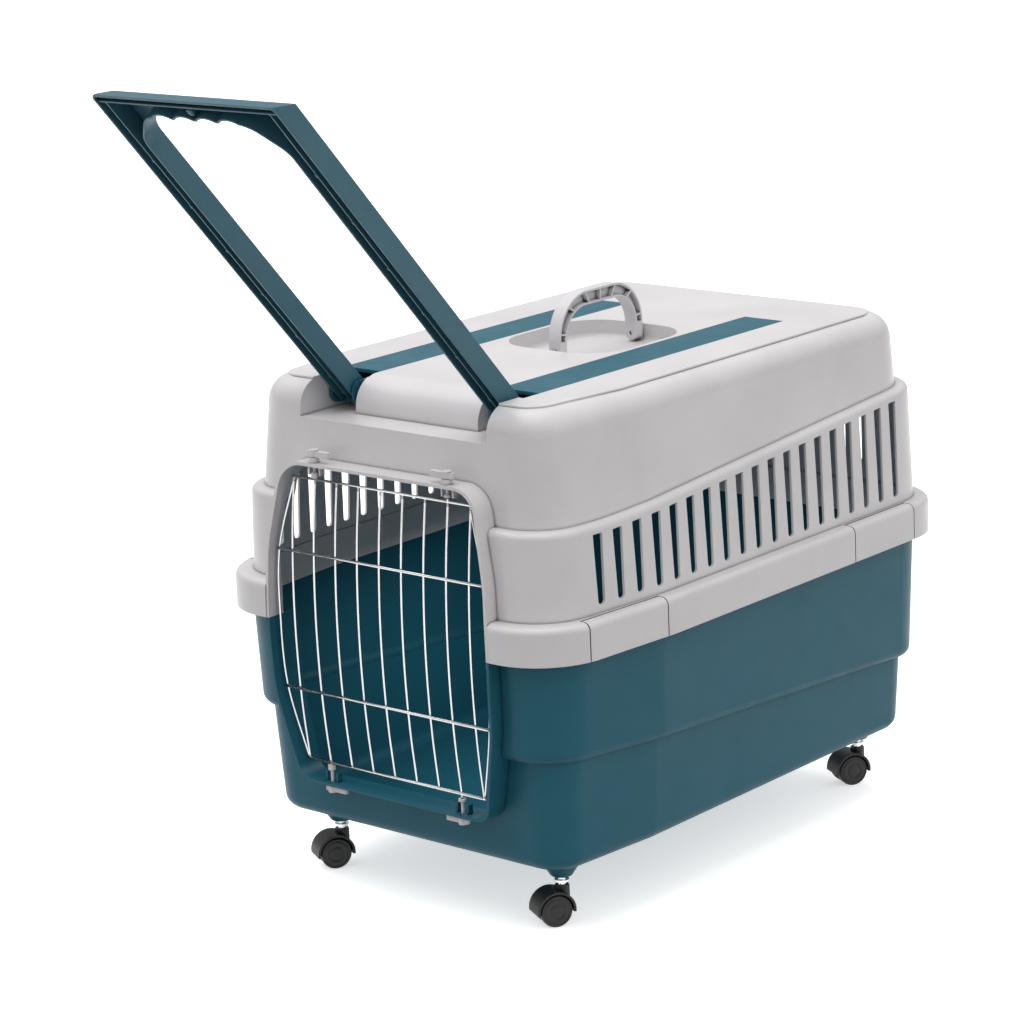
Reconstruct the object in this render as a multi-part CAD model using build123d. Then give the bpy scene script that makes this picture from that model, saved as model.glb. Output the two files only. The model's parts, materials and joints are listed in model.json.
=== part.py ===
"""Pet transport carrier: two-part plastic kennel with wire door, trolley handle and four casters.

Axes: +X right, -Y front (door side), +Z up, millimetres, standing on its wheels at z = 0.
The shapes are built with the front caster stems at y = 0, then moved so that the middle of
the whole object's length is at y = 0.
"""
from build123d import *
import os

# ---- driving dimensions -------------------------------------------------------------------
WALL = 3.2
KINK_Y = 100.0            # behind this line the sides run straight, in front they taper

BASE_Z = 86.0             # underside of the lower shell
STEP_Z_FRONT = 226.0      # the side step falls towards the back
STEP_Y_FRONT = -75.0
STEP_SLOPE = -0.058
RIM_Z = 353.0             # lower edge of the grey rim
RIM_TOP = 399.0
SKIRT_Z = 356.0           # lower edge of the upper shell's inner skirt
SKIRT_GAP = 0.5
SKIRT_WALL = 2.2
BAND_TOP = 504.0          # vent band's top edge at the front
BAND_RISE_Y = 25.0        # behind this line the band's top edge rises
BAND_SLOPE = 0.0705
ROOF_Z = 640.0
PANEL_RAISE = 1.5

# half width at the front corner, half width behind the kink, front y, rear y, front and rear radius
BASE_BOTTOM = (232.0, 246.0, -65.0, 643.0, 45.0, 45.0)
BASE_UP = (239.7, 253.7, -72.7, 650.7, 48.0, 48.0)
BASE_UP_Z = 240.0
BODY_LOW = (244.5, 262.5, -85.5, 663.5, 62.0, 62.0)
BODY_LOW_Z = 150.0
BODY_UP = (252.0, 270.0, -93.0, 671.0, 68.0, 68.0)
RIM = (272.0, 289.0, -113.0, 692.0, 88.0, 85.0)
BAND_LOW = (251.0, 269.0, -92.0, 676.0, 71.0, 70.0)
BAND_UP_Z = 560.0
BAND_DRAFT = 2.13         # the band's walls lean inwards by this angle
MAIN_LOW = (235.5, 253.5, -73.0, 657.0, 58.0, 58.0)
MAIN_LOW_Z = 496.0
MAIN_UP = (223.0, 241.0, -61.0, 654.0, 52.0, 52.0)
ROOF_ROUND = 34.0         # rounding of the roof's outer edge
PANEL = (201.5, 219.5, -39.0, 631.0, 30.0, 40.0)

# door opening, inside face of the surround
DOOR_BOTTOM_Z = 149.0
DOOR_TOP_Z = 547.0
LIP_RADIUS = 1290.0       # the surround's front edge is bowed in side view
LIP_FRONT_Y = -112.0
SURROUND = 4.0

# wire door
WIRE_H = 1.7              # radius of the horizontal wires
WIRE_V = 1.5              # radius of the upright wires
BAR_HEIGHTS = (173.3, 265.5, 439.5, 529.8)
BAR_HALVES = (145.0, 164.5, 165.0, 142.5)
DOOR_Y = -88.0            # hinge line of the door
PIN_X = 105.7

# trolley handle
HANDLE_HALF = 141.2
ARM_WIDTH = 30.0
HANDLE_DEPTH = 27.0
HANDLE_REACH = 554.0      # pivot to the outer face of the crossbar
HANDLE_PIVOT = (5.6, 620.0)
HANDLE_ANGLE = 48.3       # above the horizontal
CROSSBAR = 34.0
END_SLOPE = 24.0          # the crossbar's outer face leans back by this much over its depth
FOOT_REACH = 11.0         # the arms run on below the pivot

# front trough and roof rails
TROUGH_HALF = 147.4
TROUGH_Z = 598.0
BLOCK_HALF = 97.0
BLOCK_FRONT_Y = -20.0
SLOT_REAR_Y = 26.0
RAIL_IN = 95.2
RAIL_OUT = 155.0
RAIL_REAR_Y = 508.0

# carry handle
DISH_HALF = 88.0
DISH_Y = (222.0, 411.0)
DISH_Z = 620.5
CARRY_Y = (241.0, 406.0)
CARRY_TOP = 704.0
CARRY_PIVOT_Z = 632.0
CARRY_HALF = 9.0
CARRY_LEG = 13.0

# casters
CASTER_X = 180.0
CASTER_REAR_Y = 619.0
WHEEL_R = 20.0
WHEEL_W = 11.0
WEB_HALF = 4.3
HOOD_HALF = 16.0
HOOD_R = 24.5
AXLE_R = 2.5
TRAIL = 13.0
SWIVEL_REST = -29.0
BOSS_Z = 60.0
SOCKET_R = 8.0
STEM_R = 4.0
WASHER_Z = 54.0

# rim clips
CLIP_LENGTH = 130.0
CLIP_FRONT_Y = 20.0       # middle of the front clips
CLIP_REAR_Y = 533.0       # middle of the rear clips
CLIP_GAP = 1.6
CLIP_SKIN = 3.0
HINGE_IN = 14.0           # clip hinge line, inboard of the rim's face
HINGE_Z = 396.0
KNUCKLE_R = 2.9
CLIP_TURN = 4.6           # the sides taper by this angle in front of the kink

# vents
SIDE_VENTS = 19
SIDE_VENT_Y = -1.3
SIDE_VENT_PITCH = 32.76
SIDE_VENT_LOW = 408.5
REAR_VENTS = 6            # each side of the middle one
REAR_VENT_PITCH = 25.6

# rail and handle details
RAIL_TUBE = (106.4, 147.0)
RAIL_TUBE_Z = 601.5
EAR_X = (108.6, 144.0)
EAR_WIDTH = 3.6
PIN_SPAN = (105.0, 147.2)
FINGER_PITCH = 34.0
CROSS_RIBS = 6
RIB_PITCH = 80.0
RIB_SINK = 10.0           # the cross ribs stay this far below the arms' open edges
RIDGE_SINK = 1.5

# door details
UPRIGHT_PITCH = 35.25
DOOR_BOW = 12.5
STUB_R = 1.5
HEAD_GAP = 2.1
LEVER_REACH = 25.0
PIN_SHAFT = 2.0
TOP_BOSS = 6.5            # height of the round bosses on top of the surround


# ---- plan outlines and shells ---------------------------------------------------------------
def outline(size, z, inset=0.0):
    """Face of the carrier's plan at a height, moved inwards by an inset."""
    front_half, main_half, front, rear, front_r, rear_r = size
    front_half -= inset
    main_half -= inset
    front += inset
    rear -= inset
    points = [
        (-front_half, front), (front_half, front), (main_half, KINK_Y),
        (main_half, rear), (-main_half, rear), (-main_half, KINK_Y),
    ]
    face = make_face(Polyline(*points, close=True))
    kinks = [v for v in face.vertices() if abs(v.Y - KINK_Y) < 1]
    face = fillet(kinks, 60)
    front_corners = [v for v in face.vertices() if v.Y < front + 1]
    face = fillet(front_corners, front_r - inset)
    rear_corners = [v for v in face.vertices() if v.Y > rear - 1]
    face = fillet(rear_corners, rear_r - inset)
    return Pos(0, 0, z) * face


def between(low, low_z, high, high_z, inset=0.0):
    """Solid between two plan outlines."""
    return loft([outline(low, low_z, inset).face(), outline(high, high_z, inset).face()], ruled=True)


def bottom_edges(solid):
    """Edges of the lowest flat face."""
    return solid.faces().sort_by(Axis.Z)[0].edges()


def side_profile(points, half_width=400.0, bend=0.0):
    """Prism along X with a side-view outline given as (y, z) points; bend rounds the crease."""
    face = make_face(Polyline(*[(0, y, z) for y, z in points], close=True))
    if bend:
        face = fillet([v for v in face.vertices() if abs(v.Y - BAND_RISE_Y) < 1], bend)
    return extrude(face, half_width, dir=(1, 0, 0)) + extrude(face, half_width, dir=(-1, 0, 0))


def step_z(y):
    return STEP_Z_FRONT + STEP_SLOPE * (y - STEP_Y_FRONT)


def above_step(lift):
    """Space above the sloping side step."""
    front, rear = -200.0, 800.0
    return side_profile([
        (front, step_z(front) + lift), (rear, step_z(rear) + lift), (rear, 700), (front, 700),
    ])


def band_line(y):
    return BAND_TOP + BAND_SLOPE * max(0.0, y - BAND_RISE_Y)


def under_band_line(drop):
    """Space below the vent band's top edge."""
    front, rear = -200.0, 800.0
    return side_profile([
        (front, 380), (rear, 380), (rear, band_line(rear) - drop),
        (BAND_RISE_Y, BAND_TOP - drop), (front, BAND_TOP - drop),
    ], bend=600)


# ---- door surround ------------------------------------------------------------------------
def opening_face(grow=0.0):
    """Front-view outline of the door opening, in the XZ plane."""
    right = [
        (148 + grow, DOOR_BOTTOM_Z - grow), (172 + grow, 262), (174 + grow, 353),
        (171 + grow, 440), (150 + grow, DOOR_TOP_Z + grow),
    ]
    left = [(-x, z) for x, z in reversed(right)]
    face = make_face(Polyline(*[(x, 0, z) for x, z in right + left], close=True))
    low = [v for v in face.vertices() if v.Z < 200]
    face = fillet(low, 22 + grow)
    high = [v for v in face.vertices() if v.Z > 500]
    face = fillet(high, 35 + grow)
    waist = [v for v in face.vertices() if 255 < v.Z < 450 and abs(v.X) > 169]
    return fillet(waist, 220)


def opening_prism(grow, front, rear):
    return extrude(Pos(0, front, 0) * opening_face(grow), rear - front, dir=(0, 1, 0))


def lip_cylinder():
    """Round space whose front is the bowed front edge of the surround."""
    axis_y = LIP_FRONT_Y + LIP_RADIUS
    return Pos(0, axis_y, RIM_Z) * Rot(0, 90, 0) * Cylinder(LIP_RADIUS, 500)


def surround(front=-140.0, rear=-62.0):
    ring = opening_prism(SURROUND, front, rear) - opening_prism(0, front - 1, rear + 1)
    return ring & lip_cylinder()


def slab(z_low, z_high):
    middle = (z_low + z_high) / 2
    return Pos(0, 300, middle) * Box(1200, 1400, z_high - z_low)


# ---- lower shell ---------------------------------------------------------------------------
def lower_volume(inset):
    floor_z = BASE_Z + inset
    base = between(BASE_BOTTOM, BASE_Z, BASE_UP, BASE_UP_Z, inset)
    base = base & slab(floor_z, BASE_UP_Z)
    base = fillet(bottom_edges(base), 18 - inset)
    body = between(BODY_LOW, BODY_LOW_Z, BODY_UP, RIM_Z, inset) & above_step(inset)
    body = fillet(bottom_edges(body), 13 - inset / 2)
    upright = extrude(outline(BODY_UP, RIM_Z, inset), 40)
    return base + body + upright


def caster_places():
    for side in (-1, 1):
        for name, y in (("front", 0.0), ("rear", CASTER_REAR_Y)):
            yield ("left" if side < 0 else "right") + "_" + name, side * CASTER_X, y


def boss(x, y):
    """Rounded stem boss under a corner of the base."""
    cone = Pos(x, y, (BOSS_Z + BASE_Z + 6) / 2) * Cone(13, 33, BASE_Z + 6 - BOSS_Z)
    return fillet(cone.edges().sort_by(Axis.Z)[0], 4)


def lower_shell():
    shell = lower_volume(0)
    for _, x, y in caster_places():
        shell += boss(x, y)
    shell -= lower_volume(WALL)
    flange = extrude(outline(BODY_UP, 366, -11), 4) - extrude(outline(BODY_UP, 365, 1), 6)
    shell += flange
    shell -= opening_prism(SURROUND - 0.01, -140, -50) & slab(100, RIM_Z)
    shell -= opening_prism(SURROUND + 0.5, -140, -50) & slab(RIM_Z, 400)
    shell += surround() & slab(100, RIM_Z)
    for side in (-1, 1):
        for prong in (-8.5, 8.5):
            shell += Pos(side * PIN_X + prong, DOOR_Y + 3, DOOR_BOTTOM_Z + 5) * Box(2.6, 8, 14)
        shell -= Pos(side * PIN_X, DOOR_Y, DOOR_BOTTOM_Z - 2) * Cylinder(PIN_SHAFT + 0.3, 12)
    for _, x, y in caster_places():
        shell += Pos(x, y, BASE_Z + 8) * Cylinder(14, 16)
        shell -= Pos(x, y, BOSS_Z + 14) * Cylinder(SOCKET_R + 0.05, 34)
    return shell


# ---- upper shell -----------------------------------------------------------------------------
def upper_volume(inset):
    band = extrude(outline(BAND_LOW, RIM_TOP, inset), BAND_UP_Z - RIM_TOP, taper=BAND_DRAFT)
    band = band & under_band_line(inset)
    top = band.faces().filter_by(lambda f: f.normal_at().Z > 0.9)
    rim = [e for e in top.edges() if abs(e.center().X) > 1 or not -70 < e.center().Y < 640]
    band = fillet(rim, 9 - inset)
    main = between(MAIN_LOW, MAIN_LOW_Z, MAIN_UP, ROOF_Z, inset) & slab(MAIN_LOW_Z, ROOF_Z - inset)
    main = fillet(main.faces().sort_by(Axis.Z)[-1].edges(), ROOF_ROUND - inset)
    return band + main


def rim_block(inset=0.0):
    rim = extrude(outline(RIM, RIM_Z, inset), RIM_TOP - RIM_Z - inset)
    return fillet(rim.faces().sort_by(Axis.Z)[-1].edges(), 9 - inset)


def vent_slot(width_low, width_high, z_low, z_high, tilt):
    """Outline of one vent in its own plane: rounded bottom, slanted top; x along the wall."""
    half_low = width_low / 2
    half_high = width_high / 2
    face = make_face(Polyline(
        (-half_low, 0, z_low), (half_low, 0, z_low),
        (half_high, 0, z_high + tilt * half_high), (-half_high, 0, z_high - tilt * half_high),
        close=True))
    low = [v for v in face.vertices() if v.Z < z_low + 1]
    face = fillet(low, half_low * 0.9)
    high = [v for v in face.vertices() if v.Z > z_high - 10]
    return fillet(high, 1.5)


def side_vents():
    """Nineteen vents in both side walls, each pair cut by one prism along X."""
    cuts = []
    for index in range(SIDE_VENTS):
        y = SIDE_VENT_Y + index * SIDE_VENT_PITCH
        tilt = BAND_SLOPE if y > BAND_RISE_Y else 0.0
        face = Rot(0, 0, 90) * vent_slot(11.0, 15.5, SIDE_VENT_LOW, band_line(y) - 11.5, tilt)
        cuts.append(extrude(Pos(-300, y, 0) * face, 600, dir=(1, 0, 0)))
    return cuts


def rear_vents():
    """Vents in the rear wall, shorter towards the middle."""
    top = band_line(MAIN_LOW[3]) - 16
    cuts = []
    for index in range(-REAR_VENTS, REAR_VENTS + 1):
        x = index * REAR_VENT_PITCH
        low = 419 + 44 * (1 - (x / 165) ** 2)
        face = Pos(x, 640, 0) * vent_slot(11.0, 15.0, low, top, 0)
        cuts.append(extrude(face, 60, dir=(0, 1, 0)))
    return cuts


def rounded_box(x_low, x_high, y_low, y_high, z_low, z_high, radius):
    size = (x_high - x_low, y_high - y_low, z_high - z_low)
    middle = ((x_high + x_low) / 2, (y_high + y_low) / 2, (z_high + z_low) / 2)
    block = Pos(*middle) * Box(*size)
    return fillet(block.edges().filter_by(Axis.Z), radius) if radius else block


def front_trough(grow=0.0):
    """Space for the crossbar, with a slot on each side for the handle's arms."""
    top = ROOF_Z + 20
    space = rounded_box(-TROUGH_HALF - grow, TROUGH_HALF + grow, -160, BLOCK_FRONT_Y + grow,
                        TROUGH_Z - grow, top, 0)
    for side in (-1, 1):
        low, high = sorted((side * (BLOCK_HALF - grow), side * (TROUGH_HALF + grow)))
        slot = rounded_box(low, high, BLOCK_FRONT_Y - 20, SLOT_REAR_Y + grow, TROUGH_Z - grow, top, 0)
        space += slot
    return space


def block_nose(inset=0.0):
    """Space in front of and above the rounded nose of the block between the two slots."""
    radius = 38.0
    y = BLOCK_FRONT_Y + radius
    z = ROOF_Z + PANEL_RAISE - radius
    half = BLOCK_HALF - inset + 1
    corner = Pos(0, y - radius / 2 - 5, z + radius / 2 + 5) * Box(2 * half, radius + 10, radius + 10)
    return corner - Pos(0, y, z) * Rot(0, 90, 0) * Cylinder(radius - inset, 2 * half + 2)


def dish(grow=0.0):
    """Dish in the roof in which the carry handle stands and folds down to either side."""
    block = rounded_box(-DISH_HALF - grow, DISH_HALF + grow, DISH_Y[0] - grow, DISH_Y[1] + grow,
                        DISH_Z - grow, ROOF_Z + 20, 55 + grow)
    return fillet(block.faces().sort_by(Axis.Z)[0].edges(), 5 + grow)


def rail_pocket():
    """Roof openings for the two guide rails."""
    pocket = None
    for side in (-1, 1):
        strip_low, strip_high = sorted((side * (RAIL_IN - 0.3), side * (RAIL_OUT + 0.3)))
        tube_low, tube_high = sorted((side * (RAIL_TUBE[0] - 0.3), side * (RAIL_TUBE[1] + 0.3)))
        strip = rounded_box(strip_low, strip_high, SLOT_REAR_Y - 30, RAIL_REAR_Y + 0.3,
                            ROOF_Z - 1.8, ROOF_Z + 10, 0)
        tube = rounded_box(tube_low, tube_high, SLOT_REAR_Y - 10, RAIL_REAR_Y + 0.3,
                           ROOF_Z - 42, ROOF_Z + 10, 0)
        pocket = strip + tube if pocket is None else pocket + strip + tube
    return pocket


def clip_frame(side, name):
    """Place of a rim clip: local +x points out of the rim, z = 0 is the floor."""
    if name == "rear":
        turn, x, y = 0.0, RIM[1], CLIP_REAR_Y
    else:
        turn = -CLIP_TURN
        y = CLIP_FRONT_Y
        x = RIM[0] + (RIM[1] - RIM[0]) * (y - RIM[2]) / (KINK_Y - RIM[2])
    place = Pos(x, y, 0) * Rot(0, 0, turn)
    return place if side > 0 else Pos(-x, y, 0) * Rot(0, 0, 180 - turn)


def clip_places():
    for side in (-1, 1):
        for name in ("front", "rear"):
            yield ("left" if side < 0 else "right") + "_" + name, clip_frame(side, name)


def clip_strip(place, depth, length):
    """Part of the rim's space that a clip takes, from a depth inside the rim's face outwards."""
    block = Pos(-depth, 0, RIM_Z - 5) * Box(
        depth + 7, length, RIM_TOP - RIM_Z + 5.01, align=(Align.MIN, Align.CENTER, Align.MIN))
    return place * block


def carry_lug_y(end):
    """Middle of the lug beside the front (-1) or rear (1) leg of the carry handle."""
    return CARRY_Y[0] - 4.2 if end < 0 else CARRY_Y[1] + 4.2


def upper_shell():
    rim = rim_block() - extrude(outline(RIM, RIM_Z - 1, 3), RIM_TOP - RIM_Z - 2.5)
    solid = upper_volume(0)
    panel = extrude(outline(PANEL, ROOF_Z - 1), PANEL_RAISE + 1)
    solid += fillet(panel.faces().sort_by(Axis.Z)[-1].edges(), 1)
    skirt = extrude(outline(BODY_UP, SKIRT_Z, WALL + SKIRT_GAP), RIM_TOP - SKIRT_Z)
    shell = rim + solid + skirt
    shell -= opening_prism(SURROUND - 0.01, -160, -50) & slab(RIM_Z - 5, 600)
    shell += surround() & slab(RIM_Z, 600)
    hollow = upper_volume(WALL) - front_trough(WALL) - dish(WALL)
    hollow -= block_nose(WALL)
    shell -= hollow
    skirt_inset = WALL + SKIRT_GAP + SKIRT_WALL
    shell -= extrude(outline(BODY_UP, RIM_Z - 1, skirt_inset), RIM_TOP - RIM_Z + 3)
    shell -= front_trough()
    shell -= block_nose()
    shell -= dish()
    shell -= rail_pocket()
    for cut in side_vents() + rear_vents():
        shell -= cut
    for side in (-1, 1):
        for guide in (-8.5, 8.5):
            shell += Pos(side * PIN_X + guide, DOOR_Y + 3, DOOR_TOP_Z - 5) * Box(2.6, 8, 14)
        top = DOOR_TOP_Z + SURROUND
        shell += Pos(side * PIN_X, DOOR_Y, top + TOP_BOSS / 2 - 0.5) * Cylinder(6.5, TOP_BOSS + 1)
        shell -= Pos(side * PIN_X, DOOR_Y, top) * Cylinder(PIN_SHAFT + 0.3, 30)
    for _, place in clip_places():
        half = CLIP_LENGTH / 2 + CLIP_GAP
        shell -= clip_strip(place, HINGE_IN + KNUCKLE_R + 0.4, 2 * half)
        for end in (-1, 1):
            rib = place * Pos(-9, end * (half + 1.25), 385) * Box(18, 2.5, 28)
            shell += rib & rim_block()
            shell -= place * Pos(-HINGE_IN, end * (half + 1.5), HINGE_Z) * Rot(90, 0, 0) * Cylinder(1.5, 3.4)
    for end in (-1, 1):
        y = carry_lug_y(end)
        lug = Pos(0, y, (DISH_Z + CARRY_PIVOT_Z) / 2) * Box(11, 7, CARRY_PIVOT_Z - DISH_Z + 1)
        lug += Pos(0, y, CARRY_PIVOT_Z) * Rot(90, 0, 0) * Cylinder(5.5, 7)
        shell += lug
        shell -= Pos(0, y, CARRY_PIVOT_Z) * Rot(90, 0, 0) * Cylinder(2.5, 8)
    return shell


# ---- guide rails and trolley handle ------------------------------------------------------------
def guide_rail(side):
    """Strip flush with the roof, a tube under it for the stowed arm, two ears for the pivot pin."""
    strip_low, strip_high = sorted((side * RAIL_IN, side * RAIL_OUT))
    tube_low, tube_high = sorted((side * RAIL_TUBE[0], side * RAIL_TUBE[1]))
    top = ROOF_Z + PANEL_RAISE
    strip = rounded_box(strip_low, strip_high, SLOT_REAR_Y + 0.5, RAIL_REAR_Y, ROOF_Z - 1.5, top, 0)
    strip = fillet(strip.faces().sort_by(Axis.Z)[-1].edges(), 0.6)
    tube = rounded_box(tube_low, tube_high, SLOT_REAR_Y + 0.5, RAIL_REAR_Y, RAIL_TUBE_Z, top - 1, 0)
    hollow_low, hollow_high = sorted((side * (RAIL_TUBE[0] + 2.4), side * (RAIL_TUBE[1] - 2.4)))
    hollow = rounded_box(hollow_low, hollow_high, SLOT_REAR_Y - 10, RAIL_REAR_Y - 3,
                         RAIL_TUBE_Z + 2.4, ROOF_Z - 3, 0)
    rail = strip + tube - hollow
    for x in EAR_X:
        ear = Pos(side * x, 9, HANDLE_PIVOT[1] - 1) * Box(EAR_WIDTH, 42, 30)
        rail += fillet(ear.edges().filter_by(Axis.X).sort_by(Axis.Y)[:2], 12)
    y, z = HANDLE_PIVOT
    rail -= Pos(side * 130, y, z) * Rot(0, 90, 0) * Cylinder(3.0, 60)
    return rail


def handle_plane_outline():
    """Frame outline of the trolley handle: x across, y along the arms from the pivot."""
    outer = make_face(Polyline(
        (-HANDLE_HALF, -FOOT_REACH), (HANDLE_HALF, -FOOT_REACH), (HANDLE_HALF, HANDLE_REACH),
        (-HANDLE_HALF, HANDLE_REACH), close=True))
    outer = fillet([v for v in outer.vertices() if v.Y > 0], 10)
    inner_half = HANDLE_HALF - ARM_WIDTH
    inner_top = HANDLE_REACH - CROSSBAR
    gap = make_face(Polyline(
        (-inner_half, -20), (inner_half, -20), (inner_half, inner_top - 42),
        (inner_half - 34, inner_top), (-inner_half + 34, inner_top), (-inner_half, inner_top - 42),
        close=True))
    gap = fillet([v for v in gap.vertices() if v.Y > inner_top - 60], 36)
    return outer, gap


def scallops():
    """Finger hollows in the inner edge of the crossbar."""
    inner_top = HANDLE_REACH - CROSSBAR
    hollows = []
    for index in range(4):
        x = (index - 1.5) * FINGER_PITCH
        hollows.append(Pos(x, inner_top - 16) * Circle(21.5))
    return hollows


def handle_side_space(inset=0.0):
    """Side-view space of the handle: rounded feet, and the crossbar's sloping outer face."""
    half = HANDLE_DEPTH / 2
    face = make_face(Polyline(
        (0, -FOOT_REACH, -half), (0, HANDLE_REACH - inset, -half),
        (0, HANDLE_REACH - END_SLOPE - inset, half), (0, -FOOT_REACH, half), close=True))
    face = fillet([v for v in face.vertices() if v.Y < 0], 5)
    return extrude(Pos(-200, 0, 0) * face, 400, dir=(1, 0, 0))


def arm_ribs(side):
    """Lengthwise ridge and low cross ribs of one arm, as a solid in the channel's space."""
    depth = HANDLE_DEPTH
    middle = side * (HANDLE_HALF - ARM_WIDTH / 2)
    ridge_height = depth - RIDGE_SINK
    ridge = Pos(middle, HANDLE_REACH / 2 - 8, RIDGE_SINK / 2) * Box(2.2, HANDLE_REACH - 8, ridge_height)
    for index in range(CROSS_RIBS):
        y = 40 + index * RIB_PITCH
        ridge += Pos(middle, y, RIB_SINK / 2) * Box(ARM_WIDTH - 2, 2.2, depth - RIB_SINK)
    return ridge


def trolley_handle_flat():
    """Handle lying flat: x across, y along the arms, z = 0 at its middle, open side down."""
    outer, gap = handle_plane_outline()
    frame = outer - gap
    depth = HANDLE_DEPTH
    body = extrude(Pos(0, 0, -depth / 2) * frame, depth)
    body = fillet(body.faces().sort_by(Axis.Z)[-1].edges(), 1.5) & handle_side_space()
    for hollow in scallops():
        frame -= hollow
        body -= extrude(Pos(0, 0, -depth) * hollow, 2 * depth)
    pocket_face = offset(frame, -2.6, kind=Kind.INTERSECTION)
    pocket = extrude(Pos(0, 0, -depth / 2) * pocket_face, depth - 3.2)
    pocket = pocket & handle_side_space(4.0)
    crossbar_ridge = Pos(0, HANDLE_REACH - 13, RIDGE_SINK / 2)
    pocket -= crossbar_ridge * Box(2 * HANDLE_HALF - 4, 2.2, depth - RIDGE_SINK)
    for side in (-1, 1):
        pocket -= arm_ribs(side)
        hub = Pos(side * (HANDLE_HALF - ARM_WIDTH / 2), 0, 0) * Rot(0, 90, 0)
        pocket -= hub * Cylinder(8, ARM_WIDTH)
        body -= hub * Cylinder(3.06, ARM_WIDTH + 8)
    return body - pocket


def trolley_handle():
    """Handle at its working angle, leaning forwards over the door."""
    y, z = HANDLE_PIVOT
    return Pos(0, y, z) * Rot(180 - HANDLE_ANGLE, 0, 0) * Rot(0, 180, 0) * trolley_handle_flat()


def handle_pin(side):
    y, z = HANDLE_PIVOT
    low, high = PIN_SPAN
    return Pos(side * (low + high) / 2, y, z) * Rot(0, 90, 0) * Cylinder(3.0, high - low)


# ---- door ------------------------------------------------------------------------------------
def bow(z):
    """Front-to-back place of the door's wires at a height."""
    top = BAR_HEIGHTS[-1]
    bottom = BAR_HEIGHTS[0]
    share = (z - bottom) / (top - bottom)
    return DOOR_Y - DOOR_BOW * 4 * share * (1 - share)


def wire(points, radius):
    """Round wire in short straight lengths with mitred joints."""
    path = Polyline(*points)
    start = Plane(origin=path @ 0, z_dir=path % 0)
    return sweep(start * Circle(radius), path=path, transition=Transition.RIGHT)


def door_grille():
    grille = None
    for z, half in zip(BAR_HEIGHTS, BAR_HALVES):
        y = bow(z) - WIRE_V - WIRE_H + 0.6
        if z in (BAR_HEIGHTS[0], BAR_HEIGHTS[-1]):
            y = DOOR_Y
        bar = Pos(0, y, z) * Rot(0, 90, 0) * Cylinder(WIRE_H, 2 * half)
        grille = bar if grille is None else grille + bar
    bottom = BAR_HEIGHTS[0]
    top = BAR_HEIGHTS[-1]
    heights = (bottom, 219.4, BAR_HEIGHTS[1], 308.5, (bottom + top) / 2, 396, BAR_HEIGHTS[2], 484.7, top)
    for index in range(-5, 6):
        x = index * UPRIGHT_PITCH
        if abs(index) == 5:
            stations = [
                (index / 5 * (BAR_HALVES[0] - 3), bow(bottom), bottom),
                (index / 5 * (BAR_HALVES[1] - 2), bow(BAR_HEIGHTS[1]), BAR_HEIGHTS[1]),
                (index / 5 * (BAR_HALVES[1] + 1), bow(353), 353),
                (index / 5 * (BAR_HALVES[2] - 2), bow(BAR_HEIGHTS[2]), BAR_HEIGHTS[2]),
                (index / 5 * (BAR_HALVES[3] - 3), bow(top), top),
            ]
        else:
            stations = [(x, bow(z), z) for z in heights]
        grille += wire(stations, WIRE_V)
    for side in (-1, 1):
        grille += Pos(side * PIN_X, DOOR_Y, top + 2.6) * Cylinder(STUB_R, 5.2)
        grille += Pos(side * PIN_X, DOOR_Y, bottom - 2.6) * Cylinder(STUB_R, 5.2)
    return grille


def door_pin(side, top):
    """Turning pin: head with a socket for the wire's end, shaft through the surround, lever."""
    up = 1 if top else -1
    wire_end = BAR_HEIGHTS[-1] if top else BAR_HEIGHTS[0]
    lever_low = DOOR_TOP_Z + SURROUND + TOP_BOSS + 0.5 if top else DOOR_BOTTOM_Z - SURROUND - 0.5
    lever_high = lever_low + up * 7.0
    head_low = wire_end + up * (5.6 if side > 0 else HEAD_GAP)
    head_high = wire_end + up * 8.6
    pin = vertical_disc(4.7, head_low, head_high)
    pin += vertical_disc(3.3, head_high, head_high + up * 1.2)
    pin += vertical_disc(PIN_SHAFT, head_high - up, lever_high)
    pin += vertical_disc(5.6, lever_low, lever_high + up * 1.6)
    middle = (lever_low + lever_high) / 2
    lever = Pos(-side * LEVER_REACH / 2, 0, middle) * Box(LEVER_REACH, 7.0, 7.0)
    tail = Pos(side * 5, 0, middle) * Box(10, 7.0, 7.0)
    for arm in (lever, tail):
        pin += fillet(arm.edges().filter_by(Axis.Z), 3)
    if side < 0:
        pin -= vertical_disc(STUB_R + 0.08, head_low - up, wire_end + up * 5.6)
    return Pos(side * PIN_X, DOOR_Y, 0) * pin


def vertical_disc(radius, z_a, z_b):
    return Pos(0, 0, (z_a + z_b) / 2) * Cylinder(radius, abs(z_b - z_a))


# ---- carry handle ------------------------------------------------------------------------------
def carry_outline(inset):
    """Side view of the arch in the YZ plane: its outside and the gap under it."""
    front, rear = CARRY_Y
    foot = CARRY_PIVOT_Z
    outer = make_face(Polyline(
        (0, front + inset, foot), (0, rear - inset, foot),
        (0, rear - inset, CARRY_TOP - inset), (0, front + inset, CARRY_TOP - inset), close=True))
    outer = fillet([v for v in outer.vertices() if v.Z > foot + 20], 56 - inset)
    leg = CARRY_LEG - inset
    inner = make_face(Polyline(
        (0, front + leg, foot - 5), (0, rear - leg, foot - 5),
        (0, rear - leg, CARRY_TOP - 5 - leg), (0, front + leg, CARRY_TOP - 5 - leg), close=True))
    inner = fillet([v for v in inner.vertices() if v.Z > foot + 20], 40 + inset)
    return outer, inner


def carry_finger_hollows(radius):
    """Four round hollows under the grip."""
    middle = (CARRY_Y[0] + CARRY_Y[1]) / 2
    for index in range(4):
        y = middle + (index - 1.5) * 21
        yield Pos(0, y, CARRY_TOP - 36) * Rot(0, 90, 0) * Cylinder(radius, 60)


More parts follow.
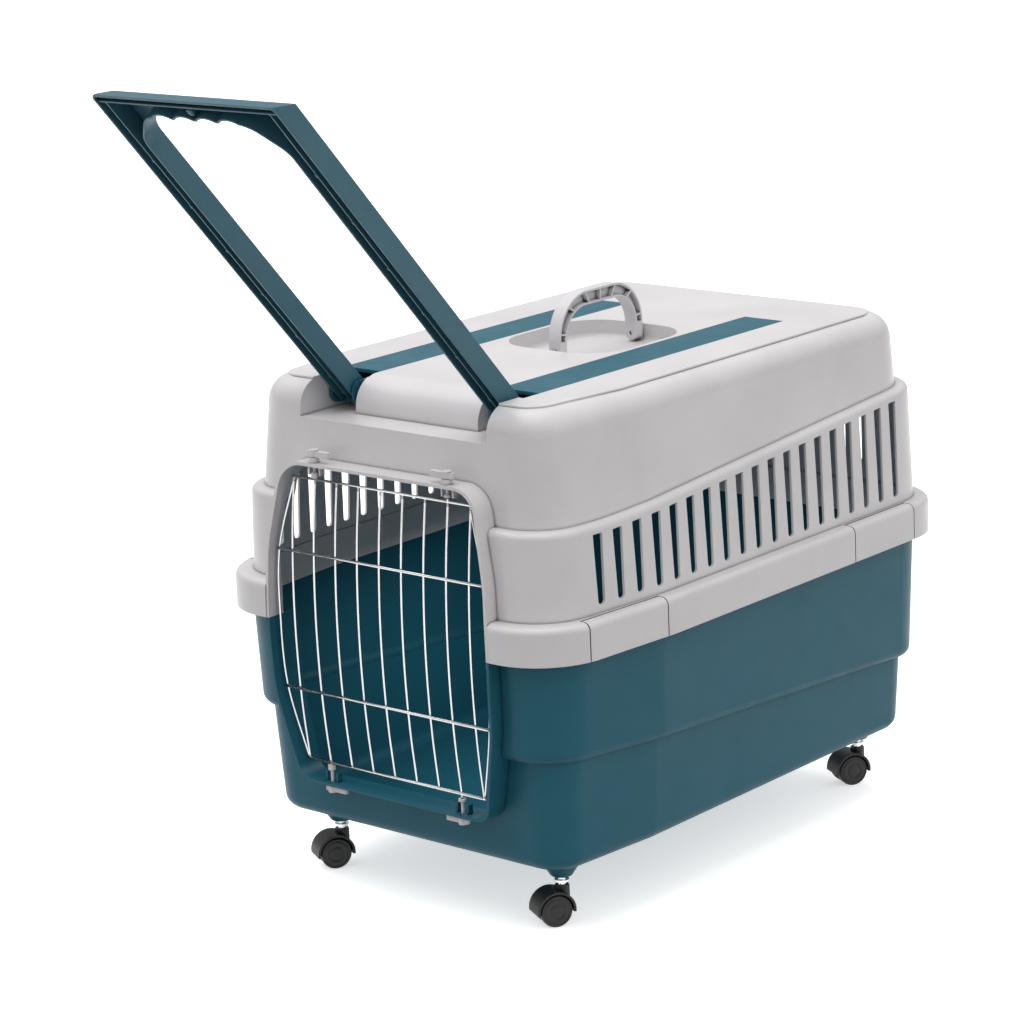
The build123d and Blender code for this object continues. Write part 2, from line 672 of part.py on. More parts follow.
def carry_handle():
    """Arched grip with ribbed pockets in both sides and a round foot at each end."""
    outer, inner = carry_outline(0)
    arch = extrude(Pos(-CARRY_HALF, 0, 0) * (outer - inner), 2 * CARRY_HALF, dir=(1, 0, 0))
    for hollow in carry_finger_hollows(17):
        arch -= hollow
    outer, inner = carry_outline(2.6)
    middle = (CARRY_Y[0] + CARRY_Y[1]) / 2
    ribs = None
    for index in range(-3, 4):
        spoke = Pos(0, middle, CARRY_TOP - 60) * Rot(index * 27, 0, 0)
        rib = spoke * Pos(0, 0, 60) * Box(30, 2.2, 90)
        ribs = rib if ribs is None else ribs + rib
    for side in (-1, 1):
        pocket = extrude(Pos(side * 2.0, 0, 0) * (outer - inner), 12, dir=(side, 0, 0)) - ribs
        for hollow in carry_finger_hollows(19.4):
            pocket -= hollow
        arch -= pocket - Pos(0, middle, CARRY_PIVOT_Z) * Box(60, 400, 30)
    for y in (CARRY_Y[0] + CARRY_LEG / 2, CARRY_Y[1] - CARRY_LEG / 2):
        arch += Pos(0, y, CARRY_PIVOT_Z) * Rot(90, 0, 0) * Cylinder(CARRY_HALF, CARRY_LEG)
        arch -= Pos(0, y, CARRY_PIVOT_Z) * Rot(90, 0, 0) * Cylinder(2.55, 20)
    return arch


def carry_pin(end):
    """Pivot pin from the lug into the handle's foot."""
    lug = carry_lug_y(end)
    return Pos(0, lug - end * 6, CARRY_PIVOT_Z) * Rot(90, 0, 0) * Cylinder(2.5, 19)


# ---- rim clips -----------------------------------------------------------------------------------
def rim_clip(place):
    """Snap clip: a piece of the rim's own shape that swings out on a pin near its top."""
    skin = rim_block() - extrude(outline(RIM, RIM_Z - 1, CLIP_SKIN), RIM_TOP - RIM_Z - CLIP_SKIN + 1)
    clip = skin & clip_strip(place, HINGE_IN, CLIP_LENGTH)
    hinge = place * Pos(-HINGE_IN, 0, HINGE_Z) * Rot(90, 0, 0)
    clip += hinge * Cylinder(KNUCKLE_R, CLIP_LENGTH)
    clip += place * Pos(-5, 0, 362.0) * Box(6, CLIP_LENGTH * 0.6, 4.0)
    return clip - hinge * Cylinder(1.56, CLIP_LENGTH + 2)


def clip_pin():
    return Pos(-HINGE_IN, 0, HINGE_Z) * Rot(90, 0, 0) * Cylinder(1.5, CLIP_LENGTH + 2 * CLIP_GAP + 5)


# ---- casters ---------------------------------------------------------------------------------------
def axle_disc(centre, radius, width):
    return centre * Rot(0, 90, 0) * Cylinder(radius, width)


def caster_hood(centre):
    """Half cover over both wheels, with a web between them that carries stem and axle."""
    cover = axle_disc(centre, HOOD_R, 2 * HOOD_HALF) & slab(WHEEL_R - 3, 60)
    for side in (-1, 1):
        cover -= axle_disc(centre * Pos(side * (WEB_HALF + 8), 0, 0), WHEEL_R + 1.5, 16)
    hood = cover + axle_disc(centre, 17, 2 * WEB_HALF)
    hood += vertical_disc(8.3, 36.0, 48.5) - axle_disc(centre, WHEEL_R + 1.5, 60)
    hood += Pos(0, 0, 36) * Box(2 * WEB_HALF, 16, 24)
    hood -= vertical_disc(STEM_R + 0.06, 38.0, 52.0)
    return hood - axle_disc(centre, AXLE_R, 12)


def caster_parts():
    """Parts of one caster about its own stem, wheels trailing towards -Y."""
    centre = Pos(0, -TRAIL, WHEEL_R)
    stem = vertical_disc(STEM_R, 39.0, 84.0) + vertical_disc(5.4, 48.6, 59.4)
    stem += vertical_disc(9.0, WASHER_Z - 1.2, WASHER_Z + 1.2)
    socket = vertical_disc(SOCKET_R, 60.2, 90.0) - vertical_disc(STEM_R + 0.08, 58, 86)
    parts = {"stem": stem, "socket": socket, "hood": caster_hood(centre)}
    parts["axle"] = axle_disc(centre, AXLE_R, 2 * HOOD_HALF - 4)
    for side, name in ((-1, "wheel_inner"), (1, "wheel_outer")):
        tyre = axle_disc(centre * Pos(side * (WEB_HALF + 0.4 + WHEEL_W / 2), 0, 0), WHEEL_R, WHEEL_W)
        tyre = fillet(tyre.edges(), 2.2)
        parts[name] = tyre - axle_disc(centre, AXLE_R + 0.06, 60)
    return parts


# ---- assembly ------------------------------------------------------------------------------------------
def build_nodes():
    nodes = {"lower_shell": lower_shell(), "upper_shell": upper_shell()}
    nodes["trolley_handle"] = trolley_handle()
    for side, name in ((-1, "left"), (1, "right")):
        nodes["guide_rail_" + name] = guide_rail(side)
        nodes["handle_pin_" + name] = handle_pin(side)
        nodes["door_pin_top_" + name] = door_pin(side, True)
        nodes["door_pin_bottom_" + name] = door_pin(side, False)
    nodes["door_grille"] = door_grille()
    nodes["carry_handle"] = carry_handle()
    nodes["carry_pin_front"] = carry_pin(-1)
    nodes["carry_pin_rear"] = carry_pin(1)
    for name, place in clip_places():
        nodes["rim_clip_" + name] = rim_clip(place)
        nodes["clip_pin_" + name] = place * clip_pin()
    for name, x, y in caster_places():
        for part, solid in caster_parts().items():
            turn = 0 if part == "socket" else SWIVEL_REST
            nodes["caster_" + name + "_" + part] = Pos(x, y, 0) * Rot(0, 0, turn) * solid
    return nodes


def main():
    os.makedirs("parts", exist_ok=True)
    nodes = build_nodes()
    front = min(solid.bounding_box().min.Y for solid in nodes.values())
    rear = max(solid.bounding_box().max.Y for solid in nodes.values())
    shift = -(front + rear) / 2
    print("shift along Y", round(shift, 3))
    for name, solid in nodes.items():
        export_step(Pos(0, shift, 0) * solid, "parts/" + name + ".step")


if __name__ == "__main__":
    main()
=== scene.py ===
"""Looks of the pet transport carrier: moulded plastics, bright wire, casters, floor, light, camera."""
import json
import math

import bmesh
import bpy
from mathutils import Matrix, Vector


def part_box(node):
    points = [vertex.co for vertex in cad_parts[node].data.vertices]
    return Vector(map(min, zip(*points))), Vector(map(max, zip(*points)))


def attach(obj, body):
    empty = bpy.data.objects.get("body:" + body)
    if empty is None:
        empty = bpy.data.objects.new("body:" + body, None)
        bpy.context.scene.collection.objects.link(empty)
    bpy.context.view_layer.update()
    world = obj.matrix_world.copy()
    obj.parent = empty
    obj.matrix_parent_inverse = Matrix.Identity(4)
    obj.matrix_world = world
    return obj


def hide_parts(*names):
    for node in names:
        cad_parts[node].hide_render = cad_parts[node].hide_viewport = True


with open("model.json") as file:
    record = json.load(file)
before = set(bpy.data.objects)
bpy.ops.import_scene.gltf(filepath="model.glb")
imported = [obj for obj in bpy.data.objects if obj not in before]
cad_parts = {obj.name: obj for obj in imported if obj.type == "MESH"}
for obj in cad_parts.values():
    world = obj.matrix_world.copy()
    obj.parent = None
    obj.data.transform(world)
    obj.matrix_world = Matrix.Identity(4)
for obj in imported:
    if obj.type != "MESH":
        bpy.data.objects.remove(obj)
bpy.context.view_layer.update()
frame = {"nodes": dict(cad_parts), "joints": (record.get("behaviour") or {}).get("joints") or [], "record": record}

NODES = frame["nodes"]
MM = 0.001

# the front caster stems stand at this place along the carrier's length
STEM_LOW, STEM_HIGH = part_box("caster_right_front_socket")
STEM_Y = (STEM_LOW.y + STEM_HIGH.y) / 2

# the trolley handle's arms rise by this angle at rest, which is how far the handle can be lowered
TILT = next(joint for joint in frame["joints"] if joint["name"] == "handle_tilt")
ARM_ANGLE = math.radians(max(TILT["range_deg"]))

# colours of the materials, in linear light
TEAL = (0.014, 0.104, 0.150)
# the trolley handle's teal: lighter and greyer than the body's, a painted sheen
HANDLE_TEAL_PAINTED_SHEEN = (0.036, 0.118, 0.160)
GREY = (0.620, 0.602, 0.612)
LIGHT_GREY = (0.620, 0.605, 0.620)
BLACK = (0.012, 0.0115, 0.011)
WHEEL_BLACK = (0.018, 0.0172, 0.0165)
STEEL = (0.78, 0.78, 0.79)

# reliefs, wear and painted crease shade of the materials
# painted crease shade: how far the ambient occlusion looks for nearby surfaces
CREASE_SHADE_REACH = 5.0 * MM
CREASE_SHADE_TONE = 0.10            # painted shade: how dark a seam or tight corner gets, of the plastic's own colour
PLASTIC_EDGE = 1.4 * MM       # width of the rubbed edges
METAL_EDGE = 0.6 * MM

# casters
WHEEL_WIDTH = 11.0 * MM
WHEEL_BORE = 2.56 * MM        # radius

# door wires
BAR_RADIUS = 1.7 * MM
UPRIGHT_RADIUS = 1.5 * MM
WIRE_OVERLAP = 0.6 * MM       # how far the welded wires sink into each other
BAR_HALVES = (145.0 * MM, 164.5 * MM, 165.0 * MM, 142.5 * MM)
LOWER_BAR = 92.2 * MM         # above the bottom bar
UPPER_BAR = 266.2 * MM
DOOR_BOW = 12.5 * MM
UPRIGHT_PITCH = 35.25 * MM
OUTER_UPRIGHT = 5             # uprights counted from the middle one
STUB_X = 105.7 * MM
STUB_LENGTH = 5.2 * MM

# trolley handle
ARM_WIDTH = 30.0 * MM
STUD_COUNT = 6                # on each arm, at its cross ribs
STUD_PITCH = 80.0 * MM
STUD_FIRST = 40.0 * MM
STUD_DEPTH = -11.6 * MM
STUD_SIZE = (4.4 * MM, 6.0 * MM, 2.4 * MM)
STUD_ROUNDING = 1.0 * MM
CATCH_ALONG = 532.0 * MM
CATCH_DEPTH = -8.0 * MM
CATCH_SIZE = (9.0 * MM, 10.0 * MM, 8.0 * MM)
CATCH_ROUNDING = 2.0 * MM

# floor, sky and camera
FLOOR_HALF = 40.0
FLOOR_GLOW = 0.55             # keeps the soft shadows on the floor pale
SKY_LOW = 0.39
SKY_HIGH = 0.95
SKY_HIGH_FROM = 0.8           # sine of the height at which the sky is brightest
CAMERA_TURN = 40.843          # degrees round the carrier, from its door end to its right side
CAMERA_RISE = 14.335
CAMERA_ROLL = -2.502
CAMERA_LENS = 119.13
CAMERA_X = 2.646
CAMERA_BEFORE_STEM = 2.9142
CAMERA_Z = 1.4852


# ---- materials ------------------------------------------------------------------------------
class Nodes:
    """Short way to write a material's node tree."""

    def __init__(self, name):
        self.material = bpy.data.materials.new(name)
        self.material.use_nodes = True
        self.tree = self.material.node_tree
        self.tree.nodes.clear()
        self.output = self.add("ShaderNodeOutputMaterial")
        self.shader = self.add("ShaderNodeBsdfPrincipled")
        self.link(self.shader, "BSDF", self.output, "Surface")

    def add(self, kind, **settings):
        node = self.tree.nodes.new(kind)
        for key, value in settings.items():
            setattr(node, key, value)
        return node

    def link(self, source, output, target, socket):
        self.tree.links.new(source.outputs[output], target.inputs[socket])

    def noise(self, scale, detail=3.0, roughness=0.5):
        node = self.add("ShaderNodeTexNoise")
        node.inputs["Scale"].default_value = scale
        node.inputs["Detail"].default_value = detail
        node.inputs["Roughness"].default_value = roughness
        coords = self.add("ShaderNodeTexCoord")
        self.link(coords, "Object", node, "Vector")
        return node

    def spread(self, source, output, low, high, in_low=0.3, in_high=0.7):
        """Maps a value linearly from one range to another."""
        node = self.add("ShaderNodeMapRange")
        node.inputs["From Min"].default_value = in_low
        node.inputs["From Max"].default_value = in_high
        node.inputs["To Min"].default_value = low
        node.inputs["To Max"].default_value = high
        self.link(source, output, node, "Value")
        return node

    def blend(self, factor, factor_output, first, second):
        """Mixes two colours, each a tuple or a (node, output) pair."""
        node = self.add("ShaderNodeMix", data_type="RGBA")
        self.link(factor, factor_output, node, 0)
        for socket, value in ((6, first), (7, second)):
            if isinstance(value[0], float):
                node.inputs[socket].default_value = (*value, 1.0)
            else:
                self.tree.links.new(value[0].outputs[value[1]], node.inputs[socket])
        return node

    def edge_mask(self, radius, low=0.02, high=0.22):
        """1 along the shape's edges, 0 on its faces."""
        bevel = self.add("ShaderNodeBevel", samples=4)
        bevel.inputs["Radius"].default_value = radius
        geometry = self.add("ShaderNodeNewGeometry")
        dot = self.add("ShaderNodeVectorMath", operation="DOT_PRODUCT")
        self.link(bevel, "Normal", dot, 0)
        self.link(geometry, "Normal", dot, 1)
        return self.spread(dot, "Value", 1.0, 0.0, 1.0 - high, 1.0 - low)

    def painted_crease_shade(self, reach):
        """Painted shade: factor from ambient occlusion that falls from 1 to 0 inside seams and tight corners."""
        shadow = self.add("ShaderNodeAmbientOcclusion", samples=6)
        shadow.inputs["Distance"].default_value = reach
        return self.spread(shadow, "AO", 0.0, 1.0, 0.25, 0.85)

    def bump(self, source, output, strength, distance, rounding):
        """Fine surface relief on top of slightly rounded edges."""
        bevel = self.add("ShaderNodeBevel", samples=4)
        bevel.inputs["Radius"].default_value = rounding
        node = self.add("ShaderNodeBump")
        node.inputs["Strength"].default_value = strength
        node.inputs["Distance"].default_value = distance
        self.link(source, output, node, "Height")
        self.link(bevel, "Normal", node, "Normal")
        self.link(node, "Normal", self.shader, "Normal")


def shade(colour, factor):
    return tuple(channel * factor for channel in colour)


def moulded_plastic(name, colour, roughness, grain=900.0, relief=0.12, wear=0.35, specular=0.4):
    """Injection-moulded plastic: faint cloudy tone, fine spark-eroded grain, paler rubbed edges, and painted shade
    in seams and tight corners.
    """
    m = Nodes(name)
    cloud = m.noise(9.0, 4.0)
    tone = m.blend(m.spread(cloud, "Fac", 0.0, 1.0), "Result", shade(colour, 0.95), shade(colour, 1.05))
    flow = m.noise(55.0, 5.0, 0.6)
    fine = m.blend(m.spread(flow, "Fac", 0.0, 0.35), "Result", (tone, 2), shade(colour, 1.03))
    edges = m.edge_mask(PLASTIC_EDGE)
    broken = m.spread(m.noise(70.0, 3.0), "Fac", 0.0, wear, 0.45, 0.75)
    rubbed = m.add("ShaderNodeMath", operation="MULTIPLY")
    m.link(edges, "Result", rubbed, 0)
    m.link(broken, "Result", rubbed, 1)
    pale = tuple(min(1.0, channel * 1.25 + 0.02) for channel in colour)
    worn = m.blend(rubbed, "Value", (fine, 2), pale)
    # painted shade: seams and tight corners darken towards a share of the colour, by ambient occlusion
    crease_shaded = m.blend(m.painted_crease_shade(CREASE_SHADE_REACH), "Result", shade(colour, CREASE_SHADE_TONE), (worn, 2))
    m.link(crease_shaded, 2, m.shader, "Base Color")
    sheen = m.spread(m.noise(24.0, 4.0), "Fac", roughness - 0.04, roughness + 0.05)
    m.link(sheen, "Result", m.shader, "Roughness")
    m.shader.inputs["Specular IOR Level"].default_value = specular
    m.bump(m.noise(grain, 2.0), "Fac", relief, 0.0002, 0.0006)
    return m.material


def bright_metal(name, colour, roughness, scratch=0.08):
    """Plated steel: clear reflections, faint drawing marks, slight dulling in patches."""
    m = Nodes(name)
    m.shader.inputs["Metallic"].default_value = 1.0
    cloud = m.noise(40.0, 3.0)
    tone = m.blend(m.spread(cloud, "Fac", 0.0, 1.0), "Result", shade(colour, 0.93), shade(colour, 1.06))
    edges = m.edge_mask(METAL_EDGE)
    worn = m.blend(edges, "Result", (tone, 2), shade(colour, 1.12))
    m.link(worn, 2, m.shader, "Base Color")
    dull = m.spread(m.noise(130.0, 4.0), "Fac", roughness - 0.03, roughness + 0.08)
    m.link(dull, "Result", m.shader, "Roughness")
    m.bump(m.noise(2600.0, 2.0), "Fac", scratch, 0.0001, 0.0003)
    return m.material


def floor_material():
    """Matt studio floor, near white with a faint unevenness and a slight glow."""
    m = Nodes("studio_floor")
    tone = m.blend(m.spread(m.noise(3.0, 3.0), "Fac", 0.0, 1.0), "Result",
                   (0.90, 0.90, 0.90), (0.93, 0.93, 0.93))
    m.link(tone, 2, m.shader, "Base Color")
    m.link(m.spread(m.noise(20.0), "Fac", 0.80, 0.92), "Result", m.shader, "Roughness")
    m.shader.inputs["Specular IOR Level"].default_value = 0.1
    m.shader.inputs["Emission Color"].default_value = (1.0, 1.0, 1.0, 1.0)
    m.shader.inputs["Emission Strength"].default_value = FLOOR_GLOW
    m.bump(m.noise(400.0), "Fac", 0.05, 0.0002, 0.0001)
    return m.material


MATERIALS = {
    "teal_plastic": moulded_plastic("teal_moulded_plastic", TEAL, 0.40, specular=0.16),
    "grey_plastic": moulded_plastic("grey_moulded_plastic", GREY, 0.33, relief=0.08, specular=0.5),
    "light_grey_plastic": moulded_plastic("light_grey_moulded_plastic", LIGHT_GREY, 0.38),
    "black_plastic": moulded_plastic("black_textured_plastic", BLACK, 0.46, grain=1500.0, relief=0.3),
    "wheel_plastic": moulded_plastic("wheel_plastic", WHEEL_BLACK, 0.38, relief=0.08, wear=0.5),
    "bright_wire": bright_metal("bright_plated_wire", shade(STEEL, 0.72), 0.18),
    "bright_steel": bright_metal("bright_plated_steel", STEEL, 0.12),
    "steel": bright_metal("drawn_steel", shade(STEEL, 0.8), 0.28, 0.2),
}
# painted sheen: the handle's teal is lighter and greyer, with a little more specular
HANDLE_MATERIAL_PAINTED_SHEEN = moulded_plastic("teal_handle_plastic_painted_sheen", HANDLE_TEAL_PAINTED_SHEEN, 0.46, relief=0.2, specular=0.30)


def dress_cad_nodes():
    """Gives each CAD node its slot's material; the trolley handle gets a lighter, greyer teal, a painted sheen."""
    for part in frame["record"]["subparts"]:
        node = NODES[part["node"]]
        node.data.materials.clear()
        material = MATERIALS[part["material_slot"]]
        if part["node"] == "trolley_handle":
            material = HANDLE_MATERIAL_PAINTED_SHEEN
        node.data.materials.append(material)


# ---- meshes ----------------------------------------------------------------------------------
def made_object(name, mesh):
    """Puts a finished bmesh into the scene as an object."""
    data = bpy.data.meshes.new(name)
    mesh.to_mesh(data)
    mesh.free()
    piece = bpy.data.objects.new(name, data)
    bpy.context.scene.collection.objects.link(piece)
    return piece


def smooth(piece, angle=35.0):
    """Smooth shading over edges flatter than the angle, in degrees."""
    for polygon in piece.data.polygons:
        polygon.use_smooth = True
    with bpy.context.temp_override(object=piece, active_object=piece, selected_objects=[piece],
                                   selected_editable_objects=[piece]):
        bpy.ops.object.shade_auto_smooth(angle=math.radians(angle))


def lathe(name, profile, segments=96):
    """Closed solid of revolution about Z from (radius, height) points."""
    mesh = bmesh.new()
    rings = []
    for radius, height in profile:
        if radius == 0:
            rings.append([mesh.verts.new((0, 0, height))])
            continue
        ring = []
        for step in range(segments):
            angle = 2 * math.pi * step / segments
            ring.append(mesh.verts.new((radius * math.cos(angle), radius * math.sin(angle), height)))
        rings.append(ring)
    for lower, upper in zip(rings, rings[1:]):
        for step in range(segments):
            after = (step + 1) % segments
            corners = []
            for vert in (lower[step % len(lower)], lower[after % len(lower)],
                         upper[after % len(upper)], upper[step % len(upper)]):
                if vert not in corners:
                    corners.append(vert)
            mesh.faces.new(corners)
    bmesh.ops.recalc_face_normals(mesh, faces=mesh.faces)
    return made_object(name, mesh)


# ---- wheels ----------------------------------------------------------------------------------
def wheel_profile(radius, width, bore):
    """Half section of a wheel, in mm inside: rounded tread, plain inner face, and on the outer face a
    hub disc with a ring groove that closes over the axle's end."""
    r = radius / MM
    w = width / MM
    b = bore / MM
    points = [
        (0, w - 1.35), (b, w - 1.35), (b, 0.6), (r - 7.0, 0.6), (r - 6.0, 0.0), (r - 2.2, 0.0),
        (r - 0.7, 0.6), (r, 2.2), (r, w - 2.4), (r - 0.5, w - 0.9), (r - 1.6, w - 0.1),
        (r - 2.8, w), (r - 3.3, w - 0.8), (r - 3.9, w - 0.8), (r - 4.4, w - 0.25),
        (r * 0.50, w - 0.05), (r * 0.47, w - 0.75), (r * 0.43, w - 0.75), (r * 0.40, w - 0.1),
        (r * 0.20, w), (0, w),
    ]
    return [(x * MM, z * MM) for x, z in points]


def caster_wheels():
    """Detailed wheels in place of the CAD ones, hub disc on the outer side of each pair."""
    for side in ("left", "right"):
        for end in ("front", "rear"):
            fork = "caster_" + side + "_" + end
            axle_low, axle_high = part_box(fork + "_axle")
            middle = (axle_low + axle_high) / 2
            for place in ("inner", "outer"):
                build_wheel(fork + "_wheel_" + place, middle)


def build_wheel(node, axle_middle):
    """One turned wheel, its hub disc facing away from the caster's middle."""
    low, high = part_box(node)
    centre = (low + high) / 2
    radius = (high.z - low.z) / 2
    axis = (centre - axle_middle).normalized()
    piece = lathe(node + "_turned", wheel_profile(radius, WHEEL_WIDTH, WHEEL_BORE))
    turn = axis.to_track_quat("Z", "Y").to_matrix().to_4x4()
    piece.data.transform(Matrix.Translation(centre - axis * WHEEL_WIDTH / 2) @ turn)
    piece.data.materials.append(MATERIALS["wheel_plastic"])
    smooth(piece)
    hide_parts(node)
    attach(piece, node)


# ---- door wires ------------------------------------------------------------------------------
def curve_through(points, steps=10):
    """Smooth run of points through the given ones, by Catmull-Rom."""
    ends = [points[0] * 2 - points[1]] + points + [points[-1] * 2 - points[-2]]
    smooth_run = []
    for a, b, c, d in zip(ends, ends[1:], ends[2:], ends[3:]):
        for step in range(steps):
            t = step / steps
            smooth_run.append(((b * 2) + (c - a) * t + (a * 2 - b * 5 + c * 4 - d) * t * t
                               + (b * 3 - a - c * 3 + d) * t * t * t) / 2)
    smooth_run.append(points[-1])
    return smooth_run


def add_tube(mesh, points, radius, sides=20):
    """Closed round tube along a run of points."""
    rings = []
    for index, point in enumerate(points):
        before = points[max(index - 1, 0)]
        after = points[min(index + 1, len(points) - 1)]
        along = (after - before).normalized()
        across = Vector((0, 1, 0)) - along * along.y
        across.normalize()
        other = along.cross(across)
        ring = []
        for step in range(sides):
            angle = 2 * math.pi * step / sides
            outward = across * math.cos(angle) + other * math.sin(angle)
            ring.append(mesh.verts.new(point + outward * radius))
        rings.append(ring)
    for lower, upper in zip(rings, rings[1:]):
        for step in range(sides):
            after = (step + 1) % sides
            mesh.faces.new((lower[step], lower[after], upper[after], upper[step]))
    mesh.faces.new(rings[0])
    mesh.faces.new(rings[-1])


def door_wires():
    """The door's welded wires with smoothly bowed uprights, in place of the straight-run CAD ones."""
    low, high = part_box("door_grille")
    hinge_y = high.y - BAR_RADIUS
    bottom = low.z + STUB_LENGTH
    top = high.z - STUB_LENGTH

    def bowed(z):
        share = (z - bottom) / (top - bottom)
        return hinge_y - DOOR_BOW * 4 * share * (1 - share)

    heights = [bottom, bottom + LOWER_BAR, bottom + UPPER_BAR, top]
    mesh = bmesh.new()
    for z, half in zip(heights, BAR_HALVES):
        y = hinge_y if z in (bottom, top) else bowed(z) - (UPRIGHT_RADIUS + BAR_RADIUS - WIRE_OVERLAP)
        add_tube(mesh, [Vector((-half, y, z)), Vector((half, y, z))], BAR_RADIUS)
    middle = (bottom + top) / 2
    for index in range(-OUTER_UPRIGHT, OUTER_UPRIGHT + 1):
        if abs(index) == OUTER_UPRIGHT:
            reach = (BAR_HALVES[0] - 3 * MM, BAR_HALVES[1] - 2 * MM, BAR_HALVES[1] + 1 * MM,
                     BAR_HALVES[2] - 2 * MM, BAR_HALVES[3] - 3 * MM)
            levels = (bottom, heights[1], middle, heights[2], top)
            run = [Vector((index / OUTER_UPRIGHT * x, bowed(z), z)) for x, z in zip(reach, levels)]
        else:
            levels = [bottom + (top - bottom) * step / 6 for step in range(7)]
            run = [Vector((index * UPRIGHT_PITCH, bowed(z), z)) for z in levels]
        add_tube(mesh, curve_through(run), UPRIGHT_RADIUS)
    for side in (-1, 1):
        for start, end in ((top, top + STUB_LENGTH), (bottom - STUB_LENGTH, bottom)):
            ends = [Vector((side * STUB_X, hinge_y, z)) for z in (start, end)]
            add_tube(mesh, ends, UPRIGHT_RADIUS)
    bmesh.ops.recalc_face_normals(mesh, faces=mesh.faces)
    piece = made_object("door_wires", mesh)
    piece.data.materials.append(MATERIALS["bright_wire"])
    smooth(piece)
    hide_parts("door_grille")
    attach(piece, "door")


# ---- trolley handle details ------------------------------------------------------------------
def handle_place(across, along, depth):
    """Point on the raised trolley handle: across in x, along the arms from the pivot, depth from
    the middle of its thickness, negative towards the open side."""
    low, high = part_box("handle_pin_right")
    pivot = (low + high) / 2
    arm = Vector((0, -math.cos(ARM_ANGLE), math.sin(ARM_ANGLE)))
    thickness = Vector((0, math.sin(ARM_ANGLE), math.cos(ARM_ANGLE)))
    return Vector((across, pivot.y, pivot.z)) + arm * along + thickness * depth


def rounded_block(name, size, centre, bevel):
    """Small block with rounded edges, turned with the trolley handle."""
    mesh = bmesh.new()
    bmesh.ops.create_cube(mesh, size=1.0)
    bmesh.ops.scale(mesh, vec=size, verts=mesh.verts)
    bmesh.ops.bevel(mesh, geom=mesh.edges, offset=bevel, segments=3, profile=0.5, affect="EDGES")
    turn = Matrix.Rotation(math.pi - ARM_ANGLE, 4, "X")
    bmesh.ops.transform(mesh, matrix=Matrix.Translation(centre) @ turn, verts=mesh.verts)
    piece = made_object(name, mesh)
    piece.data.materials.append(HANDLE_MATERIAL_PAINTED_SHEEN)
    smooth(piece)
    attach(piece, "trolley_handle")


def handle_details():
    """Studs on the arms' ridges and the small catch in the crossbar's channel."""
    outer_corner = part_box("trolley_handle")[1]
    arm_middle = outer_corner.x - ARM_WIDTH / 2
    for side, name in ((-1, "left"), (1, "right")):
        for index in range(STUD_COUNT):
            centre = handle_place(side * arm_middle, STUD_FIRST + index * STUD_PITCH, STUD_DEPTH)
            rounded_block("arm_stud_%s_%d" % (name, index + 1), STUD_SIZE, centre, STUD_ROUNDING)
    catch_place = handle_place(0.0, CATCH_ALONG, CATCH_DEPTH)
    rounded_block("crossbar_catch", CATCH_SIZE, catch_place, CATCH_ROUNDING)


# ---- floor, light and camera -----------------------------------------------------------------
def studio_floor():
    """Large level sheet that throws no light back onto the carrier."""
    mesh = bmesh.new()
    bmesh.ops.create_grid(mesh, x_segments=40, y_segments=40, size=FLOOR_HALF)
    floor = made_object("studio_floor", mesh)
    floor.data.materials.append(floor_material())
    smooth(floor, 60)
    floor.visible_diffuse = False


def area_light(name, place, aim, size, power):
    """Rectangular soft light at a place, turned towards another."""
    data = bpy.data.lights.new(name, "AREA")
    data.shape = "RECTANGLE"
    data.size, data.size_y = size
    data.energy = power
    light = bpy.data.objects.new(name, data)
    bpy.context.scene.collection.objects.link(light)
    light.location = place
    light.rotation_euler = (Vector(aim) - Vector(place)).to_track_quat("-Z", "Y").to_euler()
    return light


def direction(turn, rise):
    """Unit vector away from the carrier: turn 0 in front, a quarter turn on its right."""
    return Vector((math.sin(turn) * math.cos(rise), -math.cos(turn) * math.cos(rise), math.sin(rise)))


def sun(name, azimuth, elevation, strength, angle):
    """Distant soft light from a direction round the carrier: 0 in front, 90 on its right."""
    data = bpy.data.lights.new(name, "SUN")
    data.energy = strength
    data.angle = math.radians(angle)
    light = bpy.data.objects.new(name, data)
    bpy.context.scene.collection.objects.link(light)
    towards = direction(math.radians(azimuth), math.radians(elevation))
    light.rotation_euler = (-towards).to_track_quat("-Z", "Y").to_euler()
    light.location = towards * 4


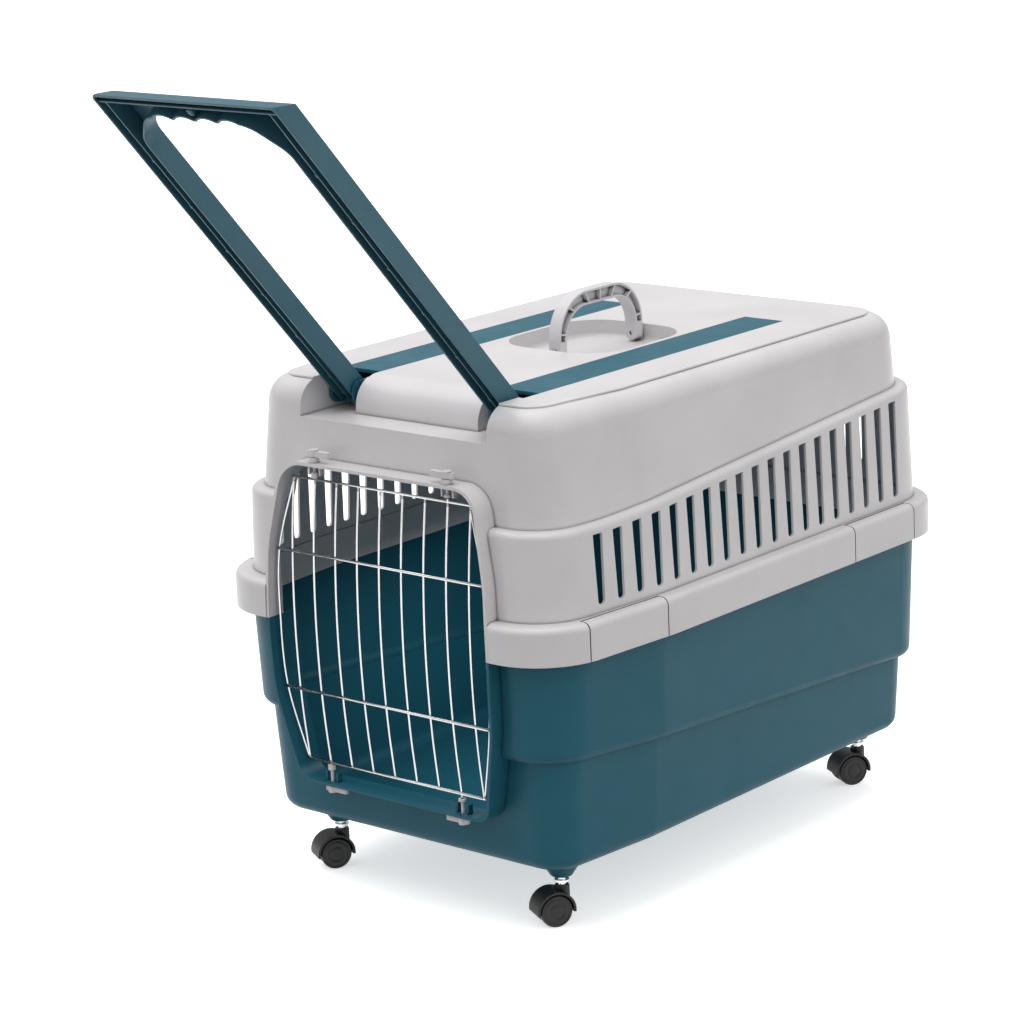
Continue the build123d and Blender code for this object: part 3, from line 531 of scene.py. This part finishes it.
def studio_world():
    """White sky, a little darker towards the horizon."""
    world = bpy.data.worlds.new("studio")
    bpy.context.scene.world = world
    world.use_nodes = True
    tree = world.node_tree
    background = tree.nodes["Background"]
    background.inputs["Strength"].default_value = 1.0
    coords = tree.nodes.new("ShaderNodeTexCoord")
    split = tree.nodes.new("ShaderNodeSeparateXYZ")
    height = tree.nodes.new("ShaderNodeMapRange")
    height.inputs["From Max"].default_value = SKY_HIGH_FROM
    height.inputs["To Min"].default_value = SKY_LOW
    height.inputs["To Max"].default_value = SKY_HIGH
    tree.links.new(coords.outputs["Generated"], split.inputs[0])
    tree.links.new(split.outputs["Z"], height.inputs["Value"])
    tree.links.new(height.outputs["Result"], background.inputs["Color"])


def studio_light():
    """Soft key from above, a weak one from the right, and a faint glow inside the cabin."""
    studio_world()
    sun("key_above", azimuth=-60, elevation=76, strength=1.6, angle=60)
    sun("side_right", azimuth=100, elevation=24, strength=0.34, angle=50)
    inside = area_light("cabin_glow", place=(0.03, 0.06, 0.37), aim=(0.03, 0.07, 0.10),
                        size=(0.28, 0.28), power=0.8)
    inside.visible_camera = False
    scene = bpy.context.scene
    scene.view_settings.view_transform = "Standard"
    scene.view_settings.look = "None"


def corner_camera():
    """Long lens off the front right corner, a little above the carrier, tilted by a small roll."""
    azimuth, elevation, roll = (math.radians(a) for a in (CAMERA_TURN, CAMERA_RISE, CAMERA_ROLL))
    back = direction(azimuth, elevation)
    level = Vector((math.cos(azimuth), math.sin(azimuth), 0.0))
    up = level.cross(-back)
    right = level * math.cos(roll) + up * math.sin(roll)
    upright = up * math.cos(roll) - level * math.sin(roll)
    data = bpy.data.cameras.new("camera")
    data.sensor_width = 36.0
    data.lens = CAMERA_LENS
    data.clip_end = 100.0
    camera = bpy.data.objects.new("camera", data)
    bpy.context.scene.collection.objects.link(camera)
    turn = Matrix((right, upright, back)).transposed().to_4x4()
    place = Vector((CAMERA_X, STEM_Y - CAMERA_BEFORE_STEM, CAMERA_Z))
    camera.matrix_world = Matrix.Translation(place) @ turn
    bpy.context.scene.camera = camera


dress_cad_nodes()
caster_wheels()
door_wires()
handle_details()
studio_floor()
studio_light()
corner_camera()

bpy.context.view_layer.update()
